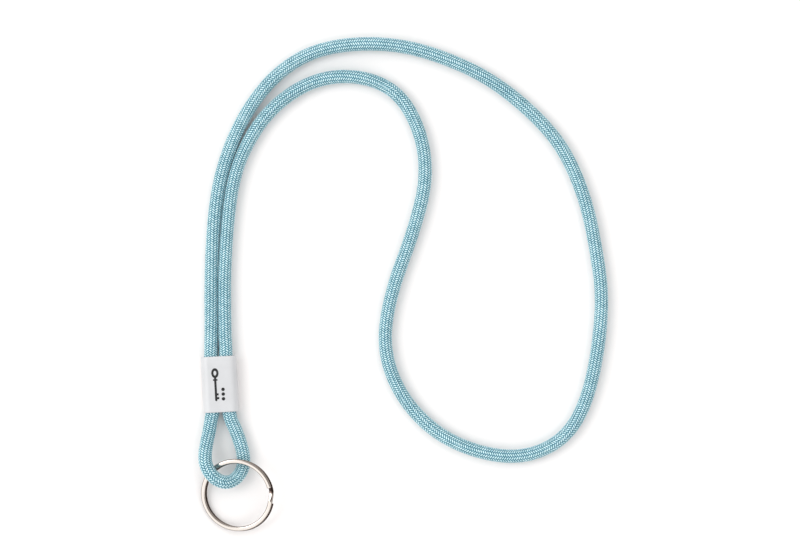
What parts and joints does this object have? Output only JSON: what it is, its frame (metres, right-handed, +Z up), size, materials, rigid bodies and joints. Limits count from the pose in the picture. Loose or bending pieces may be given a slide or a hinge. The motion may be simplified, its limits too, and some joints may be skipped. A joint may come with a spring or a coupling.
{
  "type": "neck lanyard",
  "caption": "Neck lanyard of round braided cord: a long neck loop and a short key loop held side by side in a flat oval crimp sleeve, with a double-turn split key ring in the key loop.",
  "frame": {"origin": "centre of the sleeve's flat underside, on the surface that the lanyard lies on", "axes": "+Y runs along the sleeve from the key loop to the neck loop, +Z is up from the surface, +X is to the right with the neck loop away from the viewer"},
  "size_m": [0.1869, 0.218, 0.0124],
  "materials": {
    "cord_cover": "tight braid of light blue polyester yarn with a slight sheen",
    "cord_core": "undyed straight yarns",
    "sleeve": "satin white powder coat",
    "ring": "polished nickel plate",
    "ink": "black pad print"
  },
  "bodies": {
    "sleeve": {"sleeve": "sleeve", "through_strand_cover": "cord_cover", "through_strand_core": "cord_core", "neck_end_cover": "cord_cover", "neck_end_core": "cord_core", "key_end_cover": "cord_cover", "key_end_core": "cord_core"},
    "neck_loop": {"neck_loop_cover": "cord_cover", "neck_loop_core": "cord_core"},
    "key_loop": {"key_loop_cover": "cord_cover", "key_loop_core": "cord_core"},
    "split_ring": {"split_ring": "ring"}
  },
  "joints": [
    {"name": "neck_loop_flex", "type": "hinge", "parent": "sleeve", "child": "neck_loop", "pos_m": [0, 0.0158, 0.0035], "axis": [1, 0, 0], "range_deg": [-80, 80]},
    {"name": "key_loop_flex", "type": "hinge", "parent": "sleeve", "child": "key_loop", "pos_m": [0, -0.0158, 0.0035], "axis": [1, 0, 0], "range_deg": [-80, 80]},
    {"name": "ring_spin", "type": "hinge", "parent": "key_loop", "child": "split_ring", "pos_m": [0.0052, -0.04975, 0.0052], "axis": [-0.2051, -0.1436, 0.9681], "continuous": true}
  ]
}
